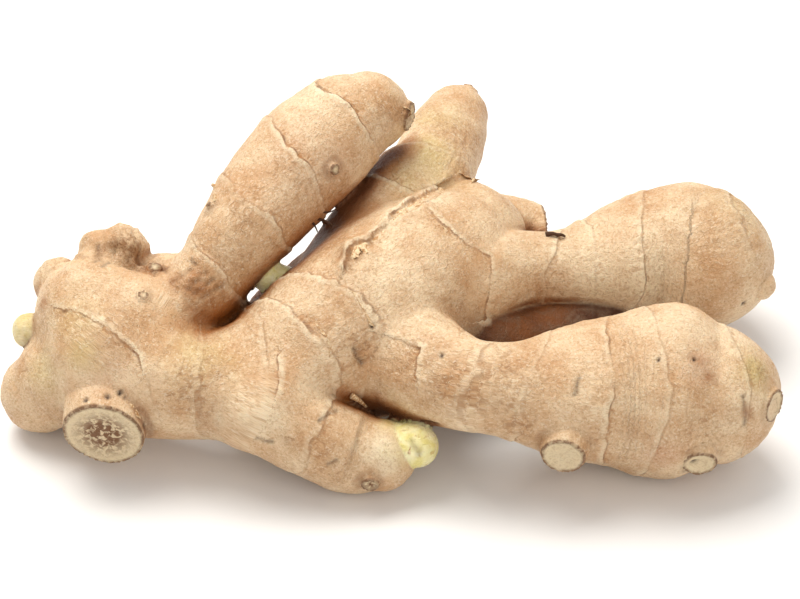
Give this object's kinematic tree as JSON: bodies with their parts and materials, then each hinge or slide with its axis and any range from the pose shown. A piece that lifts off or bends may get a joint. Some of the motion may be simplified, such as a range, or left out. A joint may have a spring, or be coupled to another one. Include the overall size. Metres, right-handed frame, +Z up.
{
  "type": "ginger root",
  "caption": "Fresh ginger rhizome lying flat: a knobbly trunk with fat fingers, node rings, buds, root scars and broken stub ends.",
  "frame": {"origin": "on the surface that the rhizome lies on, under the middle of its outline", "axes": "+X along the hand towards the tips of the two long fingers, -Y towards the front with the short sprouting finger, +Z up"},
  "size_m": [0.161, 0.107, 0.0583],
  "materials": {
    "ginger_skin": null
  },
  "bodies": {
    "root": {"rhizome": "ginger_skin"}
  },
  "joints": []
}
